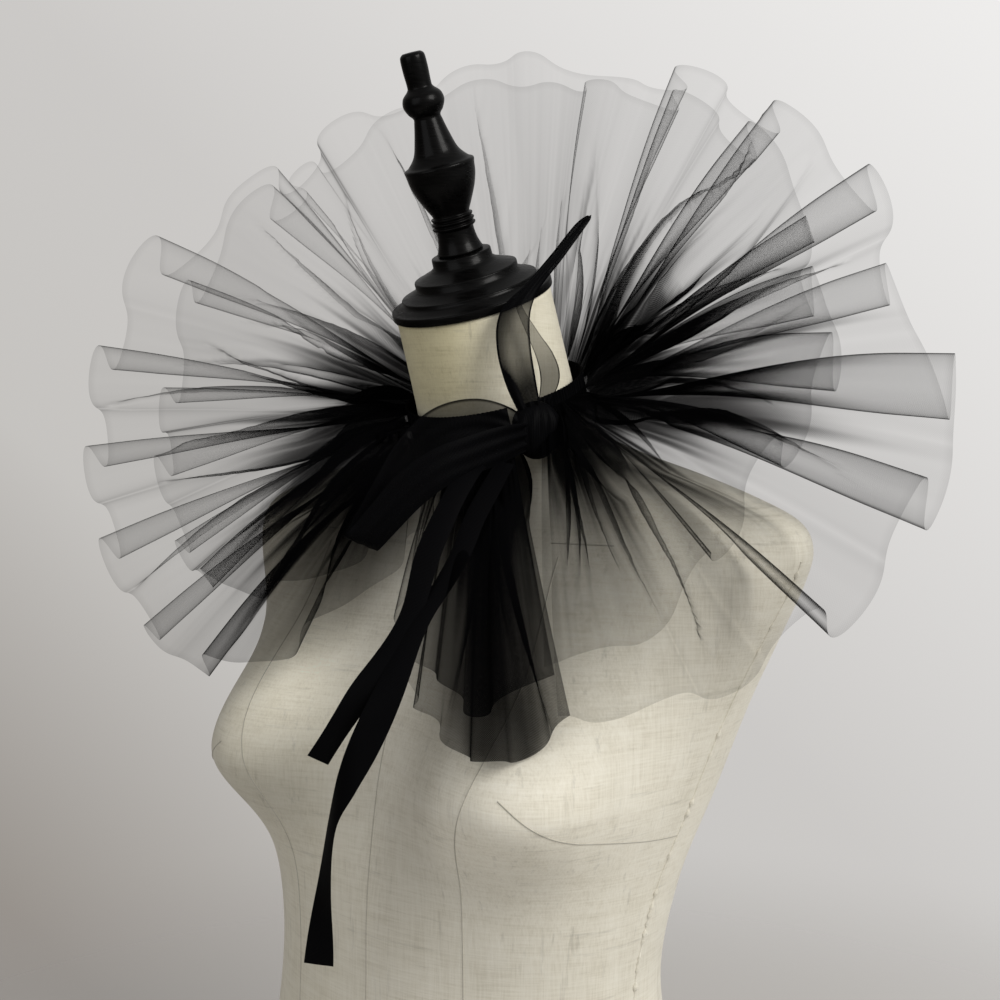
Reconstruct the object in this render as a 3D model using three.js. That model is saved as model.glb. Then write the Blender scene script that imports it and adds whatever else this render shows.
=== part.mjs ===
// A gathered net collar, closed with a ribbon bow, on a limbless dress form.
// Millimetres, +Z up, the form faces -Y and stands on its flat underside at z = 0.
import * as THREE from "three";

// ---- driving sizes ----
const NECK_LEAN = 22; // degrees the neck, cap and finial lean forward
const NET = 1.0; // wall of the net
const RIBBON = 1.0; // wall of the ribbon
const GAP = 0.3; // between pieces at a seam
const BAND = { x: 0, y: -3, z: 536, radius: 54.3, height: 22, wall: 2.4, lean: 20 };
const BUST = { apart: 88, out: 44, z: 332, wide: 56, high: 54, side: 0.5 };
const FORM_AROUND = 40;
const NECK_TOP = 596;
const LONG = { around: 200, out: 7, wave: 1.0, lift: 0, root: -5, reach: 1, shift: 0 };
const SHORT = { around: 168, out: 6, wave: 0.8, lift: 1, root: 5, reach: 0.8, shift: 0.45 };
const OPENING = { from: 62, to: 408 }; // the collar's two ends, degrees round the band from the front

// ---- helpers ----
const rad = (a) => (a * Math.PI) / 180;
const mix = (a, b, t) => a + (b - a) * t;
const clamp = (x, a, b) => Math.min(b, Math.max(a, x));
const V = (x, y, z) => new THREE.Vector3(x, y, z);
const smooth = (t) => t * t * (3 - 2 * t);

// A smooth value of one column of a table at key k (Catmull-Rom on uneven keys).
function column(rows, key, name, k) {
  const n = rows.length;
  if (k <= rows[0][key]) return rows[0][name];
  if (k >= rows[n - 1][key]) return rows[n - 1][name];
  let i = 0;
  while (rows[i + 1][key] < k) i += 1;
  const at = (j) => rows[clamp(j, 0, n - 1)];
  const slope = (j) => {
    const a = at(j - 1);
    const b = at(j + 1);
    return (b[name] - a[name]) / (b[key] - a[key] || 1);
  };
  const h = at(i + 1)[key] - at(i)[key];
  const t = (k - at(i)[key]) / h;
  const t2 = t * t;
  const t3 = t2 * t;
  return (
    at(i)[name] * (2 * t3 - 3 * t2 + 1) +
    slope(i) * h * (t3 - 2 * t2 + t) +
    at(i + 1)[name] * (3 * t2 - 2 * t3) +
    slope(i + 1) * h * (t3 - t2)
  );
}

// A closed mesh from points and faces.
function meshOf(name, points, faces, material) {
  const g = new THREE.BufferGeometry();
  const flat = points.flatMap((p) => [p.x, p.y, p.z]);
  g.setAttribute("position", new THREE.Float32BufferAttribute(flat, 3));
  g.setIndex(faces.flat());
  g.computeVertexNormals();
  const m = new THREE.Mesh(g, material);
  m.name = name;
  return m;
}

// A solid through closed rings, bottom first, each running anticlockwise from above.
function loft(name, rings, material) {
  const n = rings[0].length;
  const points = rings.flat();
  const faces = [];
  for (let j = 0; j + 1 < rings.length; j += 1)
    for (let i = 0; i < n; i += 1) {
      const a = j * n + i;
      const b = j * n + ((i + 1) % n);
      faces.push([a, b, b + n], [a, b + n, a + n]);
    }
  const mid = (ring) => ring.reduce((s, p) => s.add(p), V(0, 0, 0)).divideScalar(n);
  const low = points.push(mid(rings[0])) - 1;
  const high = points.push(mid(rings[rings.length - 1])) - 1;
  const top = (rings.length - 1) * n;
  for (let i = 0; i < n; i += 1) {
    faces.push([low, (i + 1) % n, i]);
    faces.push([high, top + i, top + ((i + 1) % n)]);
  }
  return meshOf(name, points, faces, material);
}

// A wall of one thickness through a grid of points [around][out], or a closed loop of them.
function wall(name, grid, thick, material, closed = false) {
  const nu = grid.length;
  const nv = grid[0].length;
  const top = [];
  const under = [];
  for (let i = 0; i < nu; i += 1)
    for (let j = 0; j < nv; j += 1) {
      const a = grid[closed ? (i + nu - 1) % nu : Math.max(i - 1, 0)][j];
      const b = grid[closed ? (i + 1) % nu : Math.min(i + 1, nu - 1)][j];
      const c = grid[i][Math.max(j - 1, 0)];
      const d = grid[i][Math.min(j + 1, nv - 1)];
      const normal = d.clone().sub(c).cross(b.clone().sub(a)).normalize();
      top.push(grid[i][j].clone().addScaledVector(normal, thick / 2));
      under.push(grid[i][j].clone().addScaledVector(normal, -thick / 2));
    }
  const k = nu * nv;
  const faces = [];
  const at = (i, j) => (i % nu) * nv + j;
  const lastU = closed ? nu : nu - 1;
  for (let i = 0; i < lastU; i += 1)
    for (let j = 0; j + 1 < nv; j += 1) {
      const a = at(i, j);
      const b = at(i, j + 1);
      const c = at(i + 1, j + 1);
      const d = at(i + 1, j);
      faces.push([a, b, c], [a, c, d]);
      faces.push([k + a, k + c, k + b], [k + a, k + d, k + c]);
    }
  for (let i = 0; i < lastU; i += 1)
    [
      [at(i + 1, 0), at(i, 0)],
      [at(i, nv - 1), at(i + 1, nv - 1)],
    ].forEach(([a, b]) => faces.push([b, a, k + a], [b, k + a, k + b]));
  if (!closed)
    for (let j = 0; j + 1 < nv; j += 1)
      [
        [at(0, j), at(0, j + 1)],
        [at(nu - 1, j + 1), at(nu - 1, j)],
      ].forEach(([a, b]) => faces.push([b, a, k + a], [b, k + a, k + b]));
  return meshOf(name, top.concat(under), faces, material);
}

// ---- materials ----
const linen = new THREE.MeshStandardMaterial({ color: 0xcfc4ac, roughness: 0.9 });
const wood = new THREE.MeshStandardMaterial({ color: 0x121212, roughness: 0.4 });
const net = new THREE.MeshStandardMaterial({ color: 0x1a1a1c, roughness: 0.7 });
const silk = new THREE.MeshStandardMaterial({ color: 0x0c0c0d, roughness: 0.6 });

// ---- dress form ----
// A row per section: half width, depth in front and behind, middle, forward lean, fullness.
const FORM = [
  { z: 0, half: 158, front: 104, back: 112, y: -24, lean: 0, full: 2.15 },
  { z: 60, half: 152, front: 100, back: 108, y: -26, lean: 0, full: 2.15 },
  { z: 130, half: 137, front: 94, back: 96, y: -30, lean: 0, full: 2.15 },
  { z: 205, half: 125, front: 88, back: 84, y: -33, lean: 0, full: 2.15 },
  { z: 265, half: 133, front: 92, back: 86, y: -27, lean: 0, full: 2.15 },
  { z: 320, half: 150, front: 92, back: 96, y: -16, lean: 0, full: 2.15 },
  { z: 370, half: 167, front: 86, back: 100, y: -8, lean: 0, full: 2.15 },
  { z: 410, half: 185, front: 78, back: 98, y: -3, lean: 0, full: 2.1 },
  { z: 440, half: 199, front: 70, back: 90, y: 0, lean: 0, full: 2.05 },
  { z: 458, half: 203, front: 63, back: 83, y: 2, lean: 0, full: 2.0 },
  { z: 472, half: 195, front: 58, back: 76, y: 3, lean: 0, full: 1.95 },
  { z: 484, half: 168, front: 54, back: 70, y: 4, lean: 0, full: 1.95 },
  { z: 495, half: 132, front: 50, back: 63, y: 5, lean: 2, full: 2.0 },
  { z: 504, half: 96, front: 47, back: 57, y: 5, lean: 5, full: 2.0 },
  { z: 512, half: 68, front: 46, back: 52, y: 4, lean: 9, full: 2.0 },
  { z: 520, half: 54, front: 46, back: 49, y: 1, lean: 13, full: 2.0 },
  { z: 530, half: 50.5, front: 46, back: 47, y: -2, lean: 18, full: 2.0 },
  { z: 548, half: 49, front: 46, back: 46, y: -8, lean: 22, full: 2.0 },
  { z: 596, half: 47, front: 46, back: 46, y: -26, lean: 22, full: 2.0 },
];

// How far the bust stands out at section z, distance x from the middle, s = sine round the form.
function bustOut(z, x, s) {
  const dx = (Math.abs(x) - BUST.apart) / BUST.wide;
  const dz = (z - BUST.z) / (z < BUST.z ? BUST.high * 0.8 : BUST.high * 1.15);
  return BUST.out * Math.exp(-(dx * dx + dz * dz)) * clamp(-s * 1.6, 0, 1);
}

// The form's surface point at section z and angle a round it, from its left side.
function formPoint(z, a) {
  const get = (name) => column(FORM, "z", name, z);
  const power = 2 / get("full");
  const c = Math.cos(a);
  const s = Math.sin(a);
  const x = get("half") * Math.sign(c) * Math.abs(c) ** power;
  const depth = s < 0 ? get("front") : get("back");
  const cup = bustOut(z, x, s);
  const y = depth * Math.sign(s) * Math.abs(s) ** power - cup;
  const out = Math.sign(x) * cup * BUST.side * clamp(Math.abs(c) * 1.5, 0, 1);
  const lean = rad(get("lean"));
  return V(x + out, get("y") + y * Math.cos(lean), z + y * Math.sin(lean));
}

const formLevels = FORM.flatMap((row, i) => {
  const next = FORM[i + 1];
  return next && row.z >= 205 && row.z < 400 ? [row.z, (row.z + next.z) / 2] : [row.z];
});
const formRings = formLevels.map((z) =>
  Array.from({ length: FORM_AROUND }, (_, i) => formPoint(z, (i / FORM_AROUND) * 2 * Math.PI)),
);
const torso = loft("form_torso", formRings, linen);

// How far out the form's skin stands from its middle line at height z, toward (x, y).
function formReach(x, y, z) {
  const get = (name) => column(FORM, "z", name, z);
  const middle = get("y");
  const r = Math.hypot(x, y - middle);
  const c = Math.abs(x) / r;
  const s = (y - middle) / r;
  const depth = s < 0 ? get("front") : get("back");
  const n = get("full");
  const plain = ((c / get("half")) ** n + (Math.abs(s) / depth) ** n) ** (-1 / n);
  return { middle, reach: plain + bustOut(z, plain * c, s) * (Math.abs(s) + BUST.side * c * c) };
}

// Moves a point that would lie in the form, or nearer than clear, out to that distance.
function clearOfForm(p, clear) {
  if (p.z > 520) return p;
  const { middle, reach } = formReach(p.x, p.y, p.z);
  const r = Math.hypot(p.x, p.y - middle);
  const steep = p.z > 440 ? 1 + (p.z - 440) / 40 : 1;
  const least = reach + clear * steep;
  if (r >= least) return p;
  const grow = least / r;
  return V(p.x * grow, middle + (p.y - middle) * grow, p.z);
}

// ---- neck cap and finial, turned ----
const CAP = { radius: 48.5, foot: 5, step1: 41, step2: 31, step3: 18, rise: 30 };
const capProfile = [
  [0, 0], [CAP.radius - 0.8, 0], [CAP.radius, 1.5], [CAP.radius, CAP.foot],
  [CAP.radius - 2.5, CAP.foot + 2.5], [CAP.step1, CAP.foot + 4.5], [CAP.step1, CAP.foot + 9],
  [CAP.step1 - 3, CAP.foot + 12], [CAP.step2, CAP.foot + 14], [CAP.step2 - 2.5, CAP.foot + 18],
  [CAP.step3 + 2, CAP.rise - 4], [CAP.step3, CAP.rise], [0, CAP.rise],
];
const FINIAL = [
  { h: 0, r: 13.6 }, { h: 3, r: 14 }, { h: 5.5, r: 11.6 }, { h: 8, r: 10.8 }, { h: 10.5, r: 12.6 },
  { h: 12.5, r: 12.9 }, { h: 14.5, r: 11 }, { h: 17, r: 12.4 }, { h: 19, r: 12.2 },
  { h: 21.5, r: 10.4 }, { h: 28, r: 13.6 }, { h: 36, r: 17.2 }, { h: 43, r: 19.4 },
  { h: 48.5, r: 20.1 }, { h: 51.5, r: 20.4 }, { h: 53.5, r: 17.4 }, { h: 59, r: 13 },
  { h: 68, r: 10.2 }, { h: 76, r: 8.3 }, { h: 79, r: 7.9 }, { h: 82, r: 10.2 },
  { h: 86.5, r: 12 }, { h: 91, r: 11 }, { h: 94.5, r: 7.6 }, { h: 97, r: 7 },
  { h: 105, r: 7.3 }, { h: 112, r: 7.1 }, { h: 114, r: 5.8 },
];
const lathe = (profile, around) =>
  new THREE.LatheGeometry(profile.map(([r, h]) => new THREE.Vector2(r, h)), around);
const head = new THREE.Group();
const crown = formPoint(NECK_TOP, -Math.PI / 2).add(formPoint(NECK_TOP, Math.PI / 2)).multiplyScalar(0.5);
head.position.copy(crown);
head.rotation.x = Math.PI / 2 + rad(NECK_LEAN);
const cap = new THREE.Mesh(lathe(capProfile, 28), wood);
cap.name = "neck_cap";
cap.position.y = GAP + 0.2;
const FINIAL_TOP = FINIAL[FINIAL.length - 1].h;
const finialProfile = [[0, 0], ...FINIAL.map((row) => [row.r, row.h]), [0, FINIAL_TOP]];
const finial = new THREE.Mesh(lathe(finialProfile, 20), wood);
finial.name = "finial";
finial.position.y = CAP.rise + 2 * GAP + 0.2;
head.add(cap, finial);

// ---- collar ----
// A row per flute, anticlockwise from the opening: where it leaves the band, where its edge
// points (azimuth and rise from the band's middle), how far it reaches, its depth and its roll,
// and how far the short flounce stands off the long one there.
const FLUTES = [
  { root: 66, aim: 54, rise: -38, reach: 244, depth: 4, roll: 1, apart: 7.5 },
  { root: 76, aim: 67, rise: -32, reach: 258, depth: 7, roll: 1, apart: 9.5 },
  { root: 86, aim: 81, rise: -21, reach: 262, depth: 15, roll: 5, apart: 12 },
  { root: 97, aim: 94, rise: -9, reach: 264, depth: 19, roll: 9, apart: 14 },
  { root: 109, aim: 108, rise: 2, reach: 274, depth: 23, roll: 11, apart: 14 },
  { root: 121, aim: 117, rise: 14, reach: 256, depth: 17, roll: 9, apart: 14 },
  { root: 132, aim: 124, rise: 30, reach: 266, depth: 20, roll: 10, apart: 14 },
  { root: 144, aim: 137, rise: 45, reach: 262, depth: 16, roll: 8, apart: 13 },
  { root: 157, aim: 151, rise: 56, reach: 266, depth: 17, roll: 8, apart: 13 },
  { root: 175, aim: 176, rise: 61, reach: 262, depth: 17, roll: 1, apart: 13 },
  { root: 194, aim: 206, rise: 66, reach: 260, depth: 15, roll: 1, apart: 13 },
  { root: 211, aim: 230, rise: 64, reach: 258, depth: 18, roll: 8, apart: 13 },
  { root: 228, aim: 258, rise: 50, reach: 256, depth: 15, roll: 3, apart: 13 },
  { root: 242, aim: 270, rise: 36, reach: 256, depth: 19, roll: 10, apart: 14 },
  { root: 256, aim: 291, rise: 22, reach: 256, depth: 19, roll: 10, apart: 14 },
  { root: 268, aim: 300, rise: 5, reach: 254, depth: 17, roll: 6, apart: 14 },
  { root: 280, aim: 303, rise: -9, reach: 256, depth: 18, roll: 9, apart: 14 },
  { root: 293, aim: 307, rise: -22, reach: 256, depth: 16, roll: 8, apart: 13 },
  { root: 307, aim: 312, rise: -35, reach: 252, depth: 12, roll: 6, apart: 11 },
  { root: 322, aim: 324, rise: -42, reach: 240, depth: 8, roll: 4, apart: 9.5 },
  { root: 337, aim: 340, rise: -47, reach: 222, depth: 5.5, roll: 3, apart: 8 },
  { root: 351, aim: 355, rise: -49, reach: 214, depth: 5, roll: 2, apart: 7.5 },
  { root: 365, aim: 370, rise: -49, reach: 216, depth: 5, roll: 2, apart: 7.5 },
  { root: 379, aim: 384, rise: -48, reach: 228, depth: 5.5, roll: 3, apart: 8 },
  { root: 391, aim: 396, rise: -47, reach: 234, depth: 5.5, roll: 3, apart: 8 },
  { root: 404, aim: 405, rise: -45, reach: 232, depth: 4, roll: 1, apart: 7.5 },
];
FLUTES.forEach((row, i) => {
  row.index = i;
});
const LAST = FLUTES.length - 1;

// A point on a circle round the band's leaning axis, raised along that axis.
const bandLean = rad(BAND.lean);
function bandPoint(azimuth, radius, raise) {
  const a = rad(azimuth);
  const x = radius * Math.sin(a);
  const y = -radius * Math.cos(a);
  return V(
    BAND.x + x,
    BAND.y + y * Math.cos(bandLean) - raise * Math.sin(bandLean),
    BAND.z + y * Math.sin(bandLean) + raise * Math.cos(bandLean),
  );
}
const heading = (aim, rise) =>
  V(
    Math.sin(rad(aim)) * Math.cos(rad(rise)),
    -Math.cos(rad(aim)) * Math.cos(rad(rise)),
    Math.sin(rad(rise)),
  );

// One point of a flounce: k runs through the flutes, v from the band (0) to the edge (1).
function flouncePoint(size, k, v) {
  const get = (name) => column(FLUTES, "index", name, clamp(k, 0, LAST));
  const toward = (j) => {
    const at = (name) => column(FLUTES, "index", name, clamp(j, 0, LAST));
    return heading(at("aim"), at("rise"));
  };
  const d = toward(k);
  const along = toward(k + 0.3).sub(toward(k - 0.3)).normalize();
  const normal = d.clone().cross(along).normalize();
  const lift = rad(size.lift * get("apart"));
  const edgeWay = d.clone().multiplyScalar(Math.cos(lift)).addScaledVector(normal, Math.sin(lift));
  const reach = get("reach") * size.reach;
  const edge = V(BAND.x, BAND.y, BAND.z).addScaledVector(edgeWay, reach);
  const start = BAND.radius + BAND.wall / 2 + GAP + NET / 2 + 0.5;
  const root = bandPoint(get("root"), start, size.root);
  const phase = 2 * Math.PI * (k + size.shift);
  const open = smooth(clamp(v * 1.15, 0, 1)) * 0.75 + v * 0.25;
  const depth = get("depth") * size.wave * open;
  const roll = get("roll") * size.wave * open * v;
  const tuck = Math.sin(Math.PI * Math.min(1, v * 1.1)) * 2.6 + 0.8 * (1 - v);
  const small = tuck * size.wave * Math.cos(2 * phase + 1.1 * Math.sin(phase * 0.37));
  const bulge = 0.65 * get("apart") * Math.sin(Math.PI * v) - 1;
  const p = root.clone().lerp(edge, v);
  p.addScaledVector(normal, depth * Math.cos(phase) + small * (0.4 + 0.6 * v) + bulge);
  p.addScaledVector(along, roll * Math.sin(2 * phase));
  return p;
}

function flounce(name, size, clear) {
  const grid = [];
  for (let i = 0; i <= size.around; i += 1) {
    const column_ = [];
    for (let j = 0; j <= size.out; j += 1) {
      const v = (j / size.out) ** 0.9;
      const k = (i / size.around) * LAST;
      column_.push(clearOfForm(flouncePoint(size, k, v), clear * mix(0.6, 1, v)));
    }
    grid.push(column_);
  }
  return wall(name, grid, NET, net);
}
const flounceLong = flounce("flounce_long", LONG, 5);
const flounceShort = flounce("flounce_short", SHORT, 13);

// ---- neck band: a ribbon casing round the neck, open under the bow ----
const BAND_STEPS = 60;
const bandGrid = Array.from({ length: BAND_STEPS + 1 }, (_, i) => {
  const a = mix(OPENING.from + 3, OPENING.to - 3, i / BAND_STEPS);
  return [-0.5, 0, 0.5].map((h) => bandPoint(a, BAND.radius, h * BAND.height));
});
const neckBand = wall("neck_band", bandGrid, BAND.wall, silk);

// ---- ribbon bow ----
// A strip along a path: a row per station with its place, width and turn about the path.
function ribbon(name, rows, steps) {
  rows.forEach((row, i) => {
    row.index = i;
  });
  const last = rows.length - 1;
  const spot = (k) =>
    V(
      column(rows, "index", "x", k),
      column(rows, "index", "y", k),
      column(rows, "index", "z", k),
    );
  const grid = [];
  for (let i = 0; i <= steps; i += 1) {
    const k = (i / steps) * last;
    const way = spot(Math.min(last, k + 0.05)).sub(spot(Math.max(0, k - 0.05))).normalize();
    const az = rad(column(rows, "index", "face", k));
    const tip = rad(column(rows, "index", "tip", k));
    const face = V(Math.sin(az) * Math.cos(tip), -Math.cos(az) * Math.cos(tip), Math.sin(tip));
    const across = face.clone().cross(way).normalize();
    const half = column(rows, "index", "width", k) / 2;
    const slant = column(rows, "index", "slant", k) || 0;
    grid.push(
      [-1, -0.33, 0.33, 1].map((w) =>
        spot(k).addScaledVector(across, half * w).addScaledVector(way, slant * w),
      ),
    );
  }
  return wall(name, grid, RIBBON, silk);
}

// Rows: place of the ribbon's middle, width, the way its face looks (azimuth, tip), end slant.
const LOOP_LOW = [
  { x: 57, y: -61, z: 522, width: 16, face: 45, tip: 0, slant: 0 },
  { x: 53, y: -81, z: 517, width: 34, face: 35, tip: 8, slant: 0 },
  { x: 38, y: -98, z: 509, width: 44, face: 22, tip: 18, slant: 0 },
  { x: 20, y: -111, z: 499, width: 46, face: 8, tip: 24, slant: 0 },
  { x: 4, y: -121, z: 488, width: 43, face: -8, tip: 28, slant: 0 },
  { x: -8, y: -128, z: 478, width: 40, face: -25, tip: 26, slant: 0 },
  { x: -15, y: -125, z: 474, width: 38, face: -75, tip: 10, slant: 0 },
  { x: -10, y: -118, z: 479, width: 38, face: -160, tip: -24, slant: 0 },
  { x: 6, y: -111, z: 493, width: 40, face: -180, tip: -26, slant: 0 },
  { x: 24, y: -99, z: 504, width: 38, face: -170, tip: -20, slant: 0 },
  { x: 41, y: -79, z: 517, width: 32, face: -152, tip: -10, slant: 0 },
  { x: 50.4, y: -55.8, z: 526.5, width: 15, face: -138, tip: 0, slant: 0 },
];
const LOOP_HIGH = [
  { x: 62, y: -52, z: 535.5, width: 12, face: 40, tip: 0, slant: 0 },
  { x: 59, y: -58, z: 547, width: 26, face: 25, tip: 0, slant: 0 },
  { x: 53, y: -63, z: 568, width: 33, face: 20, tip: 0, slant: 0 },
  { x: 54, y: -57, z: 590, width: 30, face: 25, tip: -5, slant: 0 },
  { x: 61, y: -38, z: 611, width: 20, face: 35, tip: -10, slant: 0 },
  { x: 71, y: -9, z: 640, width: 8, face: 50, tip: -10, slant: 0 },
];
const TAIL_SHORT = [
  { x: 43, y: -98, z: 488, width: 13, face: 15, tip: 20, slant: 0 },
  { x: 39, y: -104, z: 480, width: 15, face: 10, tip: 25, slant: 0 },
  { x: 40, y: -128, z: 450, width: 18, face: 5, tip: 28, slant: 0 },
  { x: 35, y: -151, z: 409, width: 20, face: 0, tip: 25, slant: 0 },
  { x: 20, y: -166, z: 369, width: 20, face: -5, tip: 12, slant: 0 },
  { x: 2, y: -165, z: 343, width: 21, face: -10, tip: 3, slant: 4 },
];
const TAIL_LONG = [
  { x: 58, y: -78, z: 501, width: 12, face: 40, tip: 20, slant: 0 },
  { x: 61, y: -96, z: 484, width: 13, face: 20, tip: 25, slant: 0 },
  { x: 61, y: -126, z: 451, width: 16, face: 15, tip: 28, slant: 0 },
  { x: 56, y: -149, z: 411, width: 18, face: 10, tip: 25, slant: 0 },
  { x: 44, y: -169, z: 371, width: 17, face: 0, tip: 10, slant: 0 },
  { x: 24, y: -175, z: 323, width: 12, face: -25, tip: 0, slant: 0 },
  { x: 14, y: -174, z: 284, width: 14, face: -10, tip: 0, slant: 0 },
  { x: 6, y: -171, z: 228, width: 18, face: 5, tip: 0, slant: -4 },
];
const loopLow = ribbon("bow_loop_low", LOOP_LOW, 44);
const loopHigh = ribbon("bow_loop_high", LOOP_HIGH, 24);
const tailShort = ribbon("ribbon_tail_short", TAIL_SHORT, 18);
const tailLong = ribbon("ribbon_tail_long", TAIL_LONG, 28);

// ---- knot: a tight turn of the ribbon, lumpy and a little flat ----
const KNOT = { x: 55.6, y: -46.6, z: 524, wide: 8.5, deep: 17.4, high: 11, facing: 51 };
const knotRings = Array.from({ length: 9 }, (_, j) => {
  const t = mix(-0.94, 0.94, j / 8);
  const r = Math.sqrt(1 - t * t) * (1 + 0.06 * Math.cos(9 * t));
  return Array.from({ length: 20 }, (_, i) => {
    const a = (i / 20) * 2 * Math.PI;
    const fold = 1 + 0.07 * Math.cos(3 * a + 2 * t);
    const p = V(KNOT.wide * r * fold * Math.cos(a), KNOT.deep * r * fold * Math.sin(a), KNOT.high * t);
    return p.applyAxisAngle(V(0, 0, 1), rad(KNOT.facing)).add(V(KNOT.x, KNOT.y, KNOT.z));
  });
});
const knot = loft("bow_knot", knotRings, silk);

const part = new THREE.Group();
part.name = "net_collar_on_form";
part.add(torso, neckBand, flounceLong, flounceShort);
part.add(knot, loopLow, loopHigh, tailShort, tailLong, head);
export default part;
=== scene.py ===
"""A gathered net ruff with a ribbon bow, on a limbless dress form: the looks.

The form and the neck band have the same named sizes as the part's source, and the flutes are
worked out the same way, from rows close to its rows. The ribbons, the pleats, the seams and the
notch in the front hem are set here. Sizes are in millimetres, and are turned to metres when a
mesh is made. +Z up, the form faces -Y.
"""
import math

import bmesh
import bpy
import numpy as np
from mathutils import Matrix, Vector


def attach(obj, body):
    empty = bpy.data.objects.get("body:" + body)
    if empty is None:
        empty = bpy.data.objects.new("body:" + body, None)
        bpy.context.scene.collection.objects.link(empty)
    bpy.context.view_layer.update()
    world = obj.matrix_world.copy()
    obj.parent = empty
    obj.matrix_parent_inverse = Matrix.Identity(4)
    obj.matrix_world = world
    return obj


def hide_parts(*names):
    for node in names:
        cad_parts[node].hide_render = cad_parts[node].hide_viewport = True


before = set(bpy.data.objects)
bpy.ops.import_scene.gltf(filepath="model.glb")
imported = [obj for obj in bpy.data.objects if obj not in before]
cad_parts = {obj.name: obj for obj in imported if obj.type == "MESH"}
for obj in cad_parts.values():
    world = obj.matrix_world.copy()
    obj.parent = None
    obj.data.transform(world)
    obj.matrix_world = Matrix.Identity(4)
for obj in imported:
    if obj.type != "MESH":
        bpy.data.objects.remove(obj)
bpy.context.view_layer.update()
MM = 0.001

# ---------------------------------------------------------------- sizes, in millimetres
NECK_LEAN = 22.0
GAP = 0.3
NET = 1.0
BAND = dict(x=0, y=-3, z=536, radius=54.3, height=22, wall=2.4, lean=20)
BUST = dict(apart=88, out=44, z=332, wide=56, high=54, side=0.5)
NECK_TOP = 596
NECK_Z = 520  # the net above this height is clear of the form
SHOULDER_Z = 440  # the shoulders slope in from here up
OPENING = (62, 408)

# The form's sections: height, half width, depth before and behind the middle, the middle's y,
# the lean in degrees and how full the corners are (2 is an ellipse).
FORM = dict(
    z=[0, 60, 130, 205, 265, 320, 370, 410, 440, 458, 472, 484, 495, 504, 512, 520, 530, 548, 596],
    half=[158, 152, 137, 125, 133, 150, 167, 185, 199, 203, 195, 168, 132, 96, 68, 54, 50.5, 49, 47],
    front=[104, 100, 94, 88, 92, 92, 86, 78, 70, 63, 58, 54, 50, 47, 46, 46, 46, 46, 46],
    back=[112, 108, 96, 84, 86, 96, 100, 98, 90, 83, 76, 70, 63, 57, 52, 49, 47, 46, 46],
    y=[-24, -26, -30, -33, -27, -16, -8, -3, 0, 2, 3, 4, 5, 5, 4, 1, -2, -8, -26],
    lean=[0, 0, 0, 0, 0, 0, 0, 0, 0, 0, 0, 0, 2, 5, 9, 13, 18, 22, 22],
    full=[2.15, 2.15, 2.15, 2.15, 2.15, 2.15, 2.15, 2.1, 2.05, 2, 1.95, 1.95] + [2.0] * 7,
)

# A row a flute, anticlockwise from the opening: where it leaves the band (root), where its edge
# points (aim round and rise, from the band's middle), its reach, depth and roll, how far the short
# flounce stands off the long one there (apart), how far through it its trough lies (fall), the
# short flounce's share of the reach, how many layers lie over each other (pile), and how dense
# and how long the gathers are at the band.
FLUTE_ROWS = [
    (66, 47, -38.5, 246, 4, 1, 7.5, 0.40, 0.96, 0.95, 16, 0.24),
    (76, 61, -34, 256, 5, 1, 9.5, 0.40, 0.97, 0.85, 18, 0.24),
    (86, 77, -26, 262, 17, 5, 12, 0.36, 0.84, 0.85, 32, 0.27),
    (97, 94, -13, 264, 21, 9, 14, 0.28, 0.80, 1.15, 42, 0.34),
    (109, 108, 0, 266, 29, 11, 14, 0.26, 0.80, 1.15, 44, 0.34),
    (121, 119, 15, 240, 26, 8, 14, 0.24, 0.82, 1.05, 42, 0.33),
    (132, 124, 28, 258, 28, 8, 14, 0.26, 0.84, 1.05, 36, 0.32),
    (144, 137, 43, 254, 22, 8, 13, 0.30, 0.84, 1.0, 28, 0.27),
    (157, 151, 56, 250, 15, 9, 13, 0.38, 0.84, 0.80, 16, 0.20),
    (175, 176, 61, 247, 4, 1, 13, 0.50, 0.84, 0.60, 10, 0.14),
    (194, 206, 66, 258, 5, 1, 13, 0.50, 0.80, 0.55, 8, 0.13),
    (211, 230, 64, 252, 5, 1, 13, 0.50, 0.82, 0.50, 8, 0.13),
    (228, 258, 50, 252, 12, 4, 13, 0.62, 0.80, 0.50, 9, 0.15),
    (242, 270, 36, 254, 19, 9, 14, 0.72, 0.78, 0.50, 14, 0.20),
    (256, 291, 21, 256, 21, 8, 14, 0.76, 0.78, 0.72, 24, 0.25),
    (268, 300, 5, 254, 19, 7, 14, 0.76, 0.76, 1.1, 32, 0.24),
    (280, 303, -9, 256, 20, 8, 14, 0.76, 0.78, 1.1, 36, 0.27),
    (293, 307, -22, 256, 18, 8, 13, 0.74, 0.80, 1.1, 36, 0.28),
    (307, 312, -35, 252, 14, 6, 11, 0.70, 0.82, 1.7, 40, 0.32),
    (322, 324, -42, 240, 10, 4, 9.5, 0.62, 0.84, 2.8, 36, 0.38),
    (337, 340, -47, 232, 7, 3, 8, 0.60, 0.86, 3.0, 30, 0.36),
    (351, 355, -49, 216, 5, 2, 7.5, 0.55, 0.88, 1.3, 20, 0.28),
    (365, 370, -49, 206, 5, 2, 7.5, 0.50, 0.88, 0.7, 16, 0.24),
    (379, 384, -48, 220, 5.5, 3, 8, 0.45, 0.93, 2.4, 22, 0.28),
    (391, 397, -47.5, 246, 5.5, 3, 8, 0.45, 0.96, 6.6, 28, 0.30),
    (404, 411, -43.5, 230, 4, 1, 7.5, 0.50, 0.96, 5.0, 28, 0.30),
]
FLUTE_NAMES = ("root", "aim", "rise", "reach", "depth", "roll", "apart")
FLUTE_NAMES += ("fall", "short", "pile", "dense", "spread")
FLUTES = {n: [row[i] for row in FLUTE_ROWS] for i, n in enumerate(FLUTE_NAMES)}
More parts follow.
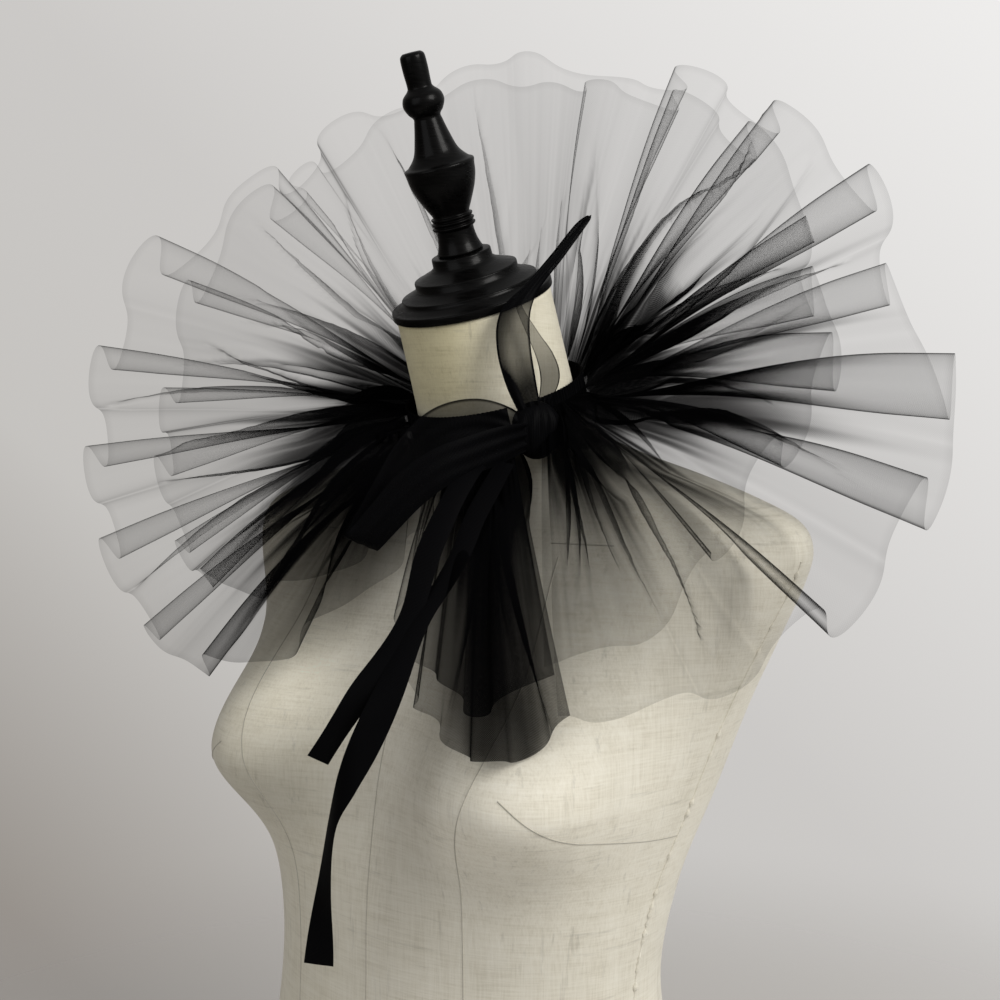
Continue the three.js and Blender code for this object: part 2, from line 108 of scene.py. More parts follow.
FLUTES["index"] = list(range(len(FLUTE_ROWS)))
LAST = len(FLUTE_ROWS) - 1
# where the hem is drawn up at the front: flute, its width before and after it, and its share
NOTCH = dict(at=21.3, before=1.5, after=0.8, share=0.55)
# Each flounce: its waves' share of the depth, its lift as a share of "apart", its root's height
# from the band's middle, whether it is the short one, its waves' shift in flutes, and how far it
# keeps clear of the form.
LONG = dict(wave=1.0, lift=0, root=-5, short=0, shift=0.0, clear=5)
SHORT = dict(wave=0.8, lift=1, root=5, short=1, shift=0.45, clear=13)

# Ribbon stations: x, y, z, width, then the way that the width lies: its turn from level in the
# plane that the bow faces, and its tip out of that plane.
LOOP_LOW = [
    (60, -52, 517, 16, 84, 0),
    (58.5, -72, 513, 20, 88, 5),
    (49, -91, 506.5, 21, 97, 6),
    (39, -104, 500, 21, 112, 3),
    (27, -113.5, 488.5, 21, 128, 0),
    (15.5, -120, 474.5, 20, 142, -4),
    (5, -124, 462.5, 19, 158, -6),
    (0, -122, 461.5, 19, 160, -4),
    (3, -115, 473, 20, 150, 0),
    (9.5, -108, 489, 21, 138, 2),
    (17.5, -99, 508, 22, 122, 2),
    (28, -87.5, 522, 23, 104, 0),
    (40, -74, 527, 22, 92, 0),
    (51, -62, 525, 18, 86, 0),
    (58, -51, 518.5, 13, 84, 0),
]
LOOP_HIGH = [
    (60, -48, 529, 12, 48, 0),
    (57, -54.5, 548, 17, 34, 4),
    (54, -57, 567.5, 19, 6, 6),
    (52.5, -53.5, 584, 17, -12, 4),
    (55, -41.5, 600, 8, -36, 0),
    (59, -20, 620.5, 5.5, -45, 0),
    (63, 2.5, 642.5, 2.5, -45, 0),
    (60.5, -4, 638, 4, -45, 0),
    (57, -21, 620, 5, -45, 0),
    (51, -44, 597, 4, -20, 0),
    (50.5, -47.5, 590, 3.5, 22, 0),
    (55, -40, 574, 6.5, 36, 0),
    (59, -34, 561.5, 10, 40, 0),
    (62, -33.5, 550, 11, 40, 0),
    (61, -37, 537, 7, 38, 0),
]
TAIL_SHORT = [
    (50.5, -84, 503, 11, 186, 0),
    (49, -92, 496, 12, 186, 0),
    (47.5, -104, 481, 12.5, 190, 0),
    (46.5, -121, 455.5, 14, 200, 0),
    (48.5, -139.5, 422.5, 11.5, 208, 3),
    (37.5, -163.5, 387, 13, 212, 5),
    (18, -174.5, 352.5, 12.5, 213, 4),
]
TAIL_LONG = [
    (60, -72, 503, 11, 196, 0),
    (60.5, -84.5, 490.5, 12, 198, 0),
    (59.5, -98, 474, 12, 200, 0),
    (60, -109, 458, 11.5, 204, 0),
    (58.5, -120.5, 443, 11.5, 208, 0),
    (54, -138, 421, 12, 208, 0),
    (52.3, -157, 390.5, 15.5, 206, 0),
    (46.2, -167, 366.7, 16.5, 204, -6),
    (37.4, -173.5, 343, 15.5, 200, -34),
    (30, -176.5, 321.7, 14.5, 192, -66),
    (24.5, -177, 287.7, 14.5, 186, -54),
    (18.5, -175.5, 246, 15.5, 186, -6),
]
KNOT = dict(x=59.3, y=-42.7, z=520.5, wide=9.5, deep=13.5, high=16.5, facing=56)
CAP = dict(radii=(48.5, 41, 31, 18), edges=(5, 10.4, 19), rise=30)
FINIAL = [  # height above its foot, radius
    (0, 13.4), (1.2, 13.7), (2.5, 13.1), (6, 11.9), (10, 11.2), (13, 11.0), (14.2, 11.2),
    (15.2, 12.5), (16.2, 12.8), (17.1, 11.7), (18, 12.4), (19, 12.7), (19.9, 11.5), (20.8, 12.1),
    (21.8, 12.3), (22.9, 10.9), (28, 13.4), (36, 17.2), (43, 19.4), (48.5, 20.1),
    (51.5, 20.4), (53.5, 17.4), (59, 13), (68, 10.2), (76, 8.3), (79, 7.9), (82, 10.2),
    (86.5, 12), (91, 11), (94.5, 7.6), (97, 7), (105, 7.3), (112, 7.1), (114, 5.8),
]

SEAM_RADIUS = 0.35
FINE_SEAM = 0.4
SIDE_SEAM = math.radians(-4)
SIDE_SEAM_RADIUS = 0.6
PRINCESS = 62  # how far from the middle the front seams run
DART = [(-58, 337), (-48, 321), (-38, 313), (-21, 306), (-4, 302)]  # degrees round, height
CHEST_SEAM = dict(start=-67, end=-55, z=459)

# Metres of flat cloth: each flounce's net along its gathers and from band to hem, and the band's
# ribbon round and across.
FLAT_LONG = (1.95, 0.205)
FLAT_SHORT = (1.62, 0.15)
BAND_FLAT = (0.34, 0.022)
NET_HOLE = 0.0011  # metres from one hole of the net to the next
NET_COVER = 0.13  # the share of light that one flat layer of the net stops
SELVEDGE = 0.28  # how much more light a sheer ribbon's woven edge stops

FACING = math.radians(38)  # round from the front to the way that the bow and the camera face
OUTWARD = np.array([math.sin(FACING), -math.cos(FACING), 0.0])
LEVEL = np.array([math.cos(FACING), math.sin(FACING), 0.0])
UPRIGHT = np.array([0.0, 0.0, 1.0])
# A fixed direction, chosen close to the camera's. Net that stands edge-on to it is made denser,
# as it looks from there. It doesn't follow the camera, so from other sides the dense edges lie
# where nothing is edge-on.
SEEN_FROM = math.radians(47)
SEEN_ALONG = np.array([math.sin(SEEN_FROM), -math.cos(SEEN_FROM), 0.0])


# ---------------------------------------------------------------- helpers
def column(rows, key, name, k):
    """A smooth value of one column of a table at keys k, as the part's source works it out."""
    x = np.asarray(rows[key], float)
    y = np.asarray(rows[name], float)
    k = np.clip(np.asarray(k, float), x[0], x[-1])
    slope = np.empty_like(y)
    slope[1:-1] = (y[2:] - y[:-2]) / (x[2:] - x[:-2])
    slope[0] = (y[1] - y[0]) / (x[1] - x[0])
    slope[-1] = (y[-1] - y[-2]) / (x[-1] - x[-2])
    i = np.clip(np.searchsorted(x, k, side="right") - 1, 0, len(x) - 2)
    h = x[i + 1] - x[i]
    t = (k - x[i]) / h
    t2 = t * t
    t3 = t2 * t
    return (
        y[i] * (2 * t3 - 3 * t2 + 1)
        + slope[i] * h * (t3 - 2 * t2 + t)
        + y[i + 1] * (3 * t2 - 2 * t3)
        + slope[i + 1] * h * (t3 - t2)
    )


def smooth(t):
    return t * t * (3 - 2 * t)


def step(a, b, t):
    return smooth(np.clip((t - a) / (b - a), 0, 1))


def unit(v):
    return v / np.maximum(np.linalg.norm(v, axis=-1, keepdims=True), 1e-9)


def wander(x, seed, knots):
    """A soft random curve over x from 0 to 1, between -1 and 1."""
    values = np.random.default_rng(seed).uniform(-1, 1, knots + 1)
    table = dict(k=np.linspace(0, 1, knots + 1), v=values)
    return column(table, "k", "v", x)


def mesh_object(name, points, faces, material, attributes=None, uv=None):
    """An object from points in millimetres and faces; attributes are one number a point."""
    mesh = bpy.data.meshes.new(name)
    pts = np.asarray(points, float).reshape(-1, 3) * MM
    faces = np.asarray(faces, int)
    mesh.vertices.add(len(pts))
    mesh.vertices.foreach_set("co", pts.ravel())
    size = faces.shape[1]
    mesh.loops.add(faces.size)
    mesh.loops.foreach_set("vertex_index", faces.ravel())
    mesh.polygons.add(len(faces))
    mesh.polygons.foreach_set("loop_start", np.arange(0, faces.size, size))
    mesh.polygons.foreach_set("loop_total", np.full(len(faces), size))
    mesh.update(calc_edges=True)
    mesh.validate()
    mesh.polygons.foreach_set("use_smooth", np.ones(len(mesh.polygons), bool))
    for label, values in (attributes or {}).items():
        layer = mesh.attributes.new(label, "FLOAT", "POINT")
        layer.data.foreach_set("value", np.asarray(values, float).ravel())
    if uv is not None:
        layer = mesh.uv_layers.new(name="cloth")
        flat = np.asarray(uv, float).reshape(-1, 2)[faces.ravel()]
        layer.data.foreach_set("uv", flat.ravel())
    mesh.materials.append(material)
    obj = bpy.data.objects.new(name, mesh)
    bpy.context.collection.objects.link(obj)
    return obj


def grid_faces(rows, columns):
    """Four-sided faces over rows of points."""
    i, j = np.meshgrid(np.arange(rows - 1), np.arange(columns - 1), indexing="ij")
    a = i * columns + j
    return np.stack([a, a + 1, a + columns + 1, a + columns], -1).reshape(-1, 4)


def ring_faces(rings, around):
    """The same over closed rings, where the last point of each ring joins its first."""
    first = np.arange(rings - 1) * around
    last = first + around - 1
    joint = np.stack([last, first, first + around, last + around], -1)
    return np.concatenate([grid_faces(rings, around), joint])


def close_ends(obj):
    """Fills the open rings at a mesh's two ends and turns its faces outward."""
    bm = bmesh.new()
    bm.from_mesh(obj.data)
    bmesh.ops.holes_fill(bm, edges=[e for e in bm.edges if e.is_boundary], sides=0)
    bmesh.ops.recalc_face_normals(bm, faces=bm.faces)
    bm.to_mesh(obj.data)
    bm.free()


def set_stops(ramp, stops):
    """Puts a colour ramp's stops in place, each a place from 0 to 1 and a colour."""
    ends = ramp.color_ramp.elements
    while len(ends) < len(stops):
        ends.new(0.5)
    for element, (place, colour) in zip(ends, stops):
        element.position = place
        element.color = (*colour, 1)


def piece(obj, slot, *nodes):
    """Puts an object on the part's one body, in place of its solids; its slot is not used."""
    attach(obj, "root")
    if nodes:
        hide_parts(*nodes)
    return obj


# ---------------------------------------------------------------- materials
class Nodes:
    """Short calls for building a material's nodes."""

    def __init__(self, name):
        self.material = bpy.data.materials.new(name)
        self.material.use_nodes = True
        self.tree = self.material.node_tree
        self.tree.nodes.clear()
        self.out = self.add("ShaderNodeOutputMaterial")
        self.shader = self.add("ShaderNodeBsdfPrincipled")
        self.link(self.shader, "BSDF", self.out, "Surface")

    def add(self, kind, **settings):
        node = self.tree.nodes.new(kind)
        for key, value in settings.items():
            if hasattr(node, key):
                setattr(node, key, value)
            else:
                node.inputs[key.replace("_", " ")].default_value = value
        return node

    def link(self, a, out, b, into):
        self.tree.links.new(a.outputs[out], b.inputs[into])

    def set(self, **values):
        for key, value in values.items():
            self.shader.inputs[key.replace("_", " ")].default_value = value

    def math(self, operation, *values, clamp=False):
        """A maths node from numbers and from (node, output) pairs."""
        node = self.add("ShaderNodeMath", operation=operation, use_clamp=clamp)
        for socket, value in zip(node.inputs, values):
            if isinstance(value, tuple):
                self.tree.links.new(value[0].outputs[value[1]], socket)
            else:
                socket.default_value = value
        return node, "Value"

    def ramp(self, source, out, stops):
        node = self.add("ShaderNodeValToRGB")
        self.link(source, out, node, "Fac")
        set_stops(node, stops)
        return node

    def bump(self, source, out, strength, distance):
        node = self.add("ShaderNodeBump", Strength=strength, Distance=distance)
        self.link(source, out, node, "Height")
        self.link(node, "Normal", self.shader, "Normal")


def net_material():
    """Fine black net: its opacity follows how closely the cloth is packed, in 'cover'."""
    m = Nodes("net")
    m.set(Roughness=0.9, Specular_IOR_Level=0.005, Base_Color=(0.0012, 0.0012, 0.0014, 1))
    cover = m.add("ShaderNodeAttribute", attribute_name="cover")
    uv = m.add("ShaderNodeUVMap", uv_map="cloth")
    parts = m.add("ShaderNodeSeparateXYZ")
    m.link(uv, "UV", parts, "Vector")
    turns = 2 * math.pi / NET_HOLE
    across = m.math("SINE", m.math("MULTIPLY", (parts, "X"), turns))
    down = m.math("SINE", m.math("MULTIPLY", (parts, "Y"), turns * 1.15))
    thread = m.math("MULTIPLY_ADD", m.math("MULTIPLY", across, down), 0.22, 1.0)
    m.link(*m.math("MULTIPLY", (cover, "Fac"), thread, clamp=True), m.shader, "Alpha")
    return m.material


def ribbon_material(name, sheer):
    """Organza or satin ribbon: fine ribs across and a soft gloss; the sheer one shows through."""
    m = Nodes(name)
    m.set(Roughness=0.5, Sheen_Weight=0.001, Sheen_Roughness=0.35, Specular_IOR_Level=0.02)
    uv = m.add("ShaderNodeUVMap", uv_map="cloth")
    ribs = m.add("ShaderNodeTexWave", wave_type="BANDS", bands_direction="X", Scale=420.0)
    m.link(uv, "UV", ribs, "Vector")
    colour = m.ramp(ribs, "Fac", [(0.0, (0.0006, 0.0006, 0.0008)), (1.0, (0.0026, 0.0026, 0.003))])
    m.link(colour, "Color", m.shader, "Base Color")
    m.bump(ribs, "Fac", 0.25, 0.0002)
    if sheer:
        cover = m.add("ShaderNodeAttribute", attribute_name="cover")
        grain = m.add("ShaderNodeTexNoise", Scale=900.0, Detail=2.0)
        m.link(uv, "UV", grain, "Vector")
        vary = m.math("MULTIPLY_ADD", (grain, "Fac"), 0.06, 0.99)
        m.link(*m.math("MULTIPLY", (cover, "Fac"), vary, clamp=True), m.shader, "Alpha")
    return m.material


def linen_material(name, paler):
    """Unbleached linen of crossing slubby threads, paler by a share, or darker if that is below 0."""
    m = Nodes(name)
    m.set(Roughness=0.86, Sheen_Weight=0.15, Sheen_Roughness=0.5, Specular_IOR_Level=0.25)
    where = m.add("ShaderNodeTexCoord")

    def threads(stretch, scale):
        space = m.add("ShaderNodeMapping")
        space.inputs["Scale"].default_value = stretch
        m.link(where, "Object", space, "Vector")
        noise = m.add("ShaderNodeTexNoise", Scale=scale, Detail=4.0, Roughness=0.65)
        m.link(space, "Vector", noise, "Vector")
        return noise

    warp = threads((1.0, 1.0, 0.05), 900.0)
    weft = threads((0.05, 0.05, 1.0), 900.0)
    slub = threads((0.25, 0.25, 1.6), 70.0)
    streak = threads((1.2, 1.2, 0.06), 60.0)
    weave = m.math("MULTIPLY", m.math("ADD", (warp, "Fac"), (weft, "Fac")), 0.5)
    mixed = m.math("MULTIPLY", m.math("ADD", (slub, "Fac"), (streak, "Fac")), 0.5)
    total = m.math("MULTIPLY_ADD", weave, 0.6, m.math("MULTIPLY", mixed, 0.4))
    colour = m.ramp(
        *total,
        [(0.30, (0.47, 0.435, 0.345)), (0.50, (0.63, 0.60, 0.51)), (0.70, (0.72, 0.70, 0.62))],
    )
    # flecks of darker yarn along and across, then broad painted shade and painted highlights, and a
    # yellowing that is partly painted shade, set on the form
    upright = threads((1.0, 1.0, 0.09), 210.0)
    level = threads((0.10, 0.10, 1.0), 190.0)
    patch = threads((1.0, 1.0, 0.7), 11.0)
    spots = m.ramp(upright, "Fac", [(0.60, (0, 0, 0)), (0.71, (1, 1, 1))])
    dashes = m.ramp(level, "Fac", [(0.61, (0, 0, 0)), (0.72, (1, 1, 1))])
    flecks = m.math("ADD", (spots, "Color"), (dashes, "Color"))
    painted_light_and_shade = m.add("ShaderNodeAttribute", attribute_name="painted_light_and_shade")
    yellowed_and_painted_shade = m.add("ShaderNodeAttribute", attribute_name="yellowed_and_painted_shade")
    fade = m.math("MULTIPLY_ADD", flecks, -0.17, 1.1 + paler)
    # the form's painted shade darkens the tone here, and its painted highlights lighten it
    with_painted_light = m.math("SUBTRACT", fade, (painted_light_and_shade, "Fac"))
    tone = m.math("SUBTRACT", with_painted_light, m.math("MULTIPLY", (patch, "Fac"), 0.2))
    toned = m.add("ShaderNodeVectorMath", operation="SCALE")
    m.link(colour, "Color", toned, 0)
    m.link(*tone, toned, "Scale")
    # the yellow tint: yellowing at the neck, and painted shade on the side away from the key light
    tint = m.ramp(yellowed_and_painted_shade, "Fac", [(0.0, (1, 1, 1)), (1.0, (1.0, 0.955, 0.72))])
    tinted = m.add("ShaderNodeVectorMath", operation="MULTIPLY")
    m.link(toned, "Vector", tinted, 0)
    m.link(tint, "Color", tinted, 1)
    m.link(tinted, "Vector", m.shader, "Base Color")
    m.bump(*weave, 0.35, 0.0006)
    return m.material


def wood_material():
    """Black painted, turned wood: satin, with faint turning lines."""
    m = Nodes("wood")
    m.set(Specular_IOR_Level=0.07, Coat_Weight=0.035, Coat_Roughness=0.12)
    where = m.add("ShaderNodeTexCoord")
    space = m.add("ShaderNodeMapping")
    space.inputs["Scale"].default_value = (1.0, 1.0, 9.0)
    m.link(where, "Object", space, "Vector")
    grain = m.add("ShaderNodeTexNoise", Scale=120.0, Detail=5.0)
    m.link(space, "Vector", grain, "Vector")
    colour = m.ramp(grain, "Fac", [(0.3, (0.0006, 0.0006, 0.0006)), (0.75, (0.0026, 0.0024, 0.0024))])
    m.link(colour, "Color", m.shader, "Base Color")
    rough = m.ramp(grain, "Fac", [(0.3, (0.24, 0.24, 0.24)), (0.8, (0.42, 0.42, 0.42))])
    m.link(rough, "Color", m.shader, "Roughness")
    m.bump(grain, "Fac", 0.12, 0.0004)
    return m.material


NET_CLOTH = net_material()
SHEER_RIBBON = ribbon_material("ribbon_sheer", sheer=True)
DENSE_RIBBON = ribbon_material("ribbon_dense", sheer=False)
LINEN = linen_material("linen", 0.0)
SEAM = linen_material("linen_seam", -0.34)
WOOD = wood_material()


# ---------------------------------------------------------------- dress form
def bust_out(z, x, s):
    """How far the bust stands out at height z and x from the middle; s is -1 at the front."""
    dx = (np.abs(x) - BUST["apart"]) / BUST["wide"]
    dz = (z - BUST["z"]) / np.where(z < BUST["z"], BUST["high"] * 0.8, BUST["high"] * 1.15)
    return BUST["out"] * np.exp(-(dx * dx + dz * dz)) * np.clip(-s * 1.6, 0, 1)


def form_point(z, a):
    """The form's surface at section z and angle a round it, from its left side."""
    z, a = np.broadcast_arrays(np.asarray(z, float), np.asarray(a, float))
    get = lambda name: column(FORM, "z", name, z)
    power = 2 / get("full")
    c, s = np.cos(a), np.sin(a)
    x = get("half") * np.sign(c) * np.abs(c) ** power
    depth = np.where(s < 0, get("front"), get("back"))
    cup = bust_out(z, x, s)
    y = depth * np.sign(s) * np.abs(s) ** power - cup
    out = np.sign(x) * cup * BUST["side"] * np.clip(np.abs(c) * 1.5, 0, 1)
    lean = np.radians(get("lean"))
    return np.stack([x + out, get("y") + y * np.cos(lean), z + y * np.sin(lean)], -1)


def form_reach(p):
    """How far out the form's skin stands from its middle line, toward each point."""
    get = lambda name: column(FORM, "z", name, p[..., 2])
    middle = get("y")
    r = np.hypot(p[..., 0], p[..., 1] - middle)
    c = np.abs(p[..., 0]) / np.maximum(r, 1e-6)
    s = (p[..., 1] - middle) / np.maximum(r, 1e-6)
    depth = np.where(s < 0, get("front"), get("back"))
    n = get("full")
    plain = ((c / get("half")) ** n + (np.abs(s) / depth) ** n) ** (-1 / n)
    return middle, plain + bust_out(p[..., 2], plain * c, s) * (np.abs(s) + BUST["side"] * c * c)


def clear_of_form(p, clear):
    """Moves points that would lie in the form, or nearer than clear, out to that distance."""
    middle, reach = form_reach(p)
    r = np.hypot(p[..., 0], p[..., 1] - middle)
    steep = 1 + np.maximum(p[..., 2] - SHOULDER_Z, 0) / 40
    grow = np.maximum(1, (reach + clear * steep) / np.maximum(r, 1e-6))
    grow = np.where(p[..., 2] > NECK_Z, 1, grow)
    q = p.copy()
    q[..., 0] = p[..., 0] * grow
    q[..., 1] = middle + (p[..., 1] - middle) * grow
    return q


def make_form():
    levels, around = 290, 300
    z = np.linspace(0, NECK_TOP, levels)
    a = np.linspace(0, 2 * np.pi, around, endpoint=False)
    points = form_point(z[:, None], a[None, :]).reshape(-1, 3)
    x, y, up = points.T

    def spot(cx, cz, wide, high):
        return np.exp(-(((x - cx) / wide) ** 2) - ((up - cz) / high) ** 2) * (y < 0)

    # broad patches of painted shade on the lower bust and under it, on the belly and down the left
    # side, and painted highlights on the bust where the value is below 0, set for how the linen looks
    painted_light_and_shade = 0.28 * spot(-55, 316, 46, 30) - 0.55 * spot(-58, 378, 44, 32)
    painted_light_and_shade += 0.12 * spot(-135, 345, 22, 60) - 0.22 * spot(85, 322, 42, 38)
    painted_light_and_shade += 0.14 * spot(75, 238, 38, 38) + 0.05 * spot(0, 150, 60, 90)
    # yellowing at the neck, stronger on the side away from the key light, where the tint is painted
    # shade; a faint tint down the far left side is painted shade too
    leftward = -points @ LEVEL
    yellowed_and_painted_shade = step(512, 545, up) * (0.25 + 0.75 * step(-5, 35, leftward))
    yellowed_and_painted_shade += 0.12 * step(60, 110, leftward)
    painted_light_and_yellowing = dict(painted_light_and_shade=painted_light_and_shade, yellowed_and_painted_shade=yellowed_and_painted_shade)
    body = mesh_object("linen_form", points, ring_faces(levels, around), LINEN, attributes=painted_light_and_yellowing)
    close_ends(body)
    piece(body, "linen", "form_torso")


def surface_line(path, radius, name, material, pilled=0.0):
    """A thin seam roll along points of the form; a pilled one is rubbed into small tufts."""
    rng = np.random.default_rng(len(path))
    curve = bpy.data.curves.new(name, "CURVE")
    curve.dimensions = "3D"
    curve.bevel_depth = radius * MM
    curve.bevel_resolution = 2
    spline = curve.splines.new("POLY")
    spline.points.add(len(path) - 1)
    for point, co in zip(spline.points, path):
        point.co = (*[c * MM for c in co], 1)
        point.radius = 1 + pilled * rng.uniform(0, 1) ** 5 * 3
    obj = bpy.data.objects.new(name, curve)
    obj.data.materials.append(material)
    bpy.context.collection.objects.link(obj)
    piece(obj, "linen")


def make_seams():
    z = np.linspace(2, 452, 260)
    zf = np.linspace(2, 452, 180)
    bent = np.linspace(0, len(DART) - 1, 60)
    dart = dict(k=range(len(DART)), a=[d[0] for d in DART], z=[d[1] for d in DART])
    across = np.radians(np.linspace(CHEST_SEAM["start"], CHEST_SEAM["end"], 12))
    for side, label in ((1, "left"), (-1, "right")):
        mirror = lambda a: a if side > 0 else math.pi - a
        path = form_point(z, mirror(SIDE_SEAM))
        surface_line(path, SIDE_SEAM_RADIUS, f"seam_side_{label}", LINEN, 1.0)
        out = PRINCESS + 24 * step(290, 400, zf)
        inward = (out / column(FORM, "z", "half", zf)) ** (column(FORM, "z", "full", zf) / 2)
        path = form_point(zf, mirror(-np.arccos(inward)))
        surface_line(path, SEAM_RADIUS, f"seam_front_{label}", SEAM)
        path = form_point(z, math.pi / 2 - side * (0.5 + 0.1 * step(210, 430, z)))
        surface_line(path, SEAM_RADIUS, f"seam_back_{label}", SEAM)
        round_to = mirror(np.radians(column(dart, "k", "a", bent)))
        path = form_point(column(dart, "k", "z", bent), round_to)
        surface_line(path, FINE_SEAM, f"seam_dart_{label}", SEAM)
        path = form_point(CHEST_SEAM["z"], mirror(across))
        surface_line(path, FINE_SEAM, f"seam_chest_{label}", SEAM)
    zc = np.linspace(2, 500, 120)
    surface_line(form_point(zc, -math.pi / 2), SEAM_RADIUS, "seam_front", SEAM)
    surface_line(form_point(zc, math.pi / 2), SEAM_RADIUS, "seam_back", SEAM)


# ---------------------------------------------------------------- cap and finial
def crown():
    """The middle of the neck's top."""
    both = form_point(np.array([NECK_TOP, NECK_TOP]), np.array([-math.pi / 2, math.pi / 2]))
    return both.mean(0)


def turned(name, profile, raise_by, node):
    """A smooth turned piece from its profile of (height, radius), leaning with the neck."""
    h, r = np.array(profile, float).T
    around = 96
    a = np.linspace(0, 2 * np.pi, around, endpoint=False)
    lean = math.radians(NECK_LEAN)
    x = np.cos(a)[None, :] * r[:, None]
    y = np.sin(a)[None, :] * r[:, None]
    z = np.repeat((h + raise_by)[:, None], around, 1)
    base = crown()
    points = np.stack(
        [
            base[0] + x,
            base[1] + y * math.cos(lean) - z * math.sin(lean),
            base[2] + y * math.sin(lean) + z * math.cos(lean),
        ],
        -1,
    )
    obj = mesh_object(name, points, ring_faces(len(h), around), WOOD)
    close_ends(obj)
    piece(obj, "wood", node)


def rounded(points, steps):
    """A profile through given points, smoothed into a fine one."""
    t = np.arange(len(points))
    table = dict(t=t, h=[p[0] for p in points], r=[p[1] for p in points])
    k = np.linspace(0, len(points) - 1, steps)
    return list(zip(column(table, "t", "h", k), column(table, "t", "r", k)))


def make_head():
    radii = CAP["radii"]
    foot = radii[0]
    cap = [(0, 1), (0, foot - 0.9), (0.4, foot - 0.2), (1.0, foot)]
    # each step: an upright side, a crisp edge, then a cove in to the next step
    for low, wide, inner in zip(CAP["edges"], radii, radii[1:]):
        cove = (wide - inner) * 0.75
        cap += [(low - 0.8, wide), (low - 0.2, wide - 0.2), (low, wide - 0.8)]
        cap += [(low + 0.3, wide - 2.2), (low + 0.12 * cove + 0.4, wide - 0.4 * cove - 1.2)]
        cap += [(low + 0.3 * cove + 0.5, inner + 0.3 * cove), (low + 0.5 * cove + 0.6, inner)]
    top, rise = radii[-1], CAP["rise"]
    cap += [(rise - 0.8, top - 0.2), (rise - 0.2, top - 0.4), (rise, top - 1.0), (rise, 1)]
    turned("turned_cap", cap, GAP + 0.2, "neck_cap")
    peak = FINIAL[-1][0]
    profile = [(0, 1)] + rounded(FINIAL, 220) + [(peak + 0.4, 5.0), (peak + 0.6, 1)]
    turned("turned_finial", profile, rise + 2 * GAP + 0.2, "finial")


# ---------------------------------------------------------------- flounces
BAND_LEAN = math.radians(BAND["lean"])


def band_point(azimuth, radius, raised):
    """The point at an azimuth in degrees round the leaning band, raised from its middle."""
    a = np.radians(azimuth)
    x = radius * np.sin(a)
    y = -radius * np.cos(a)
    return np.stack(
        [
            BAND["x"] + x,
            BAND["y"] + y * math.cos(BAND_LEAN) - raised * math.sin(BAND_LEAN),
            BAND["z"] + y * math.sin(BAND_LEAN) + raised * math.cos(BAND_LEAN),
        ],
        -1,
    )


def heading(k):
    """The way that the flute at k runs."""
    aim = np.radians(column(FLUTES, "index", "aim", k))
    rise = np.radians(column(FLUTES, "index", "rise", k))
    return np.stack(
        [np.sin(aim) * np.cos(rise), -np.cos(aim) * np.cos(rise), np.sin(rise)], -1
    )


def flounce_surface(size, k, v):
    """The flounce's points at flute numbers k and shares v of the way from band to edge, with
    its normal and the way along its gathers."""
    get = lambda name: column(FLUTES, "index", name, np.clip(k, 0, LAST))
    d = heading(np.clip(k, 0, LAST))
    along = unit(heading(np.clip(k + 0.3, 0, LAST)) - heading(np.clip(k - 0.3, 0, LAST)))
    normal = unit(np.cross(d, along))
    lift = np.radians(size["lift"] * get("apart"))[..., None]
    way = d * np.cos(lift) + normal * np.sin(lift)
    middle = np.array([BAND["x"], BAND["y"], BAND["z"]], float)
    reach = get("reach") * (get("short") if size["short"] else 1)
    beside = k - NOTCH["at"]
    drawn = np.exp(-((beside / np.where(beside < 0, NOTCH["before"], NOTCH["after"])) ** 2))
    reach = reach * (1 - NOTCH["share"] * drawn)
    edge = middle + way * reach[..., None]
    start = BAND["radius"] + BAND["wall"] / 2 + GAP + NET / 2 + 0.5
    root = band_point(get("root"), start, size["root"])
    part = np.mod(k + size["shift"], 1)
    fall = get("fall")
    turned_down = np.pi * part / fall
    turned_up = np.pi + np.pi * (part - fall) / (1 - fall)
    phase = np.where(part < fall, turned_down, turned_up)
    opened = smooth(np.clip(v * 1.15, 0, 1)) * 0.75 + v * 0.25
    depth = get("depth") * size["wave"] * opened
    roll = get("roll") * size["wave"] * opened * v
    bulge = 0.65 * get("apart") * np.sin(np.pi * v) - 1
    lifted = depth * np.cos(phase) + bulge
    p = root + (edge - root) * v[..., None]
    p = p + normal * lifted[..., None] + along * (roll * np.sin(2 * phase))[..., None]
    return p, normal, along


def even(values, span):
    """A running mean along the gathers."""
    box = np.ones(span) / span
    return np.apply_along_axis(
        lambda c: np.convolve(np.pad(c, span // 2, mode="edge"), box, "valid"), 0, values
    )


def run_along(p):
    """The length along the gathers to each point, in millimetres."""
    gap = np.linalg.norm(np.diff(p, axis=0), axis=-1)
    gap = np.concatenate([gap, gap[-1:]], 0)
    return gap, np.cumsum(gap, 0)


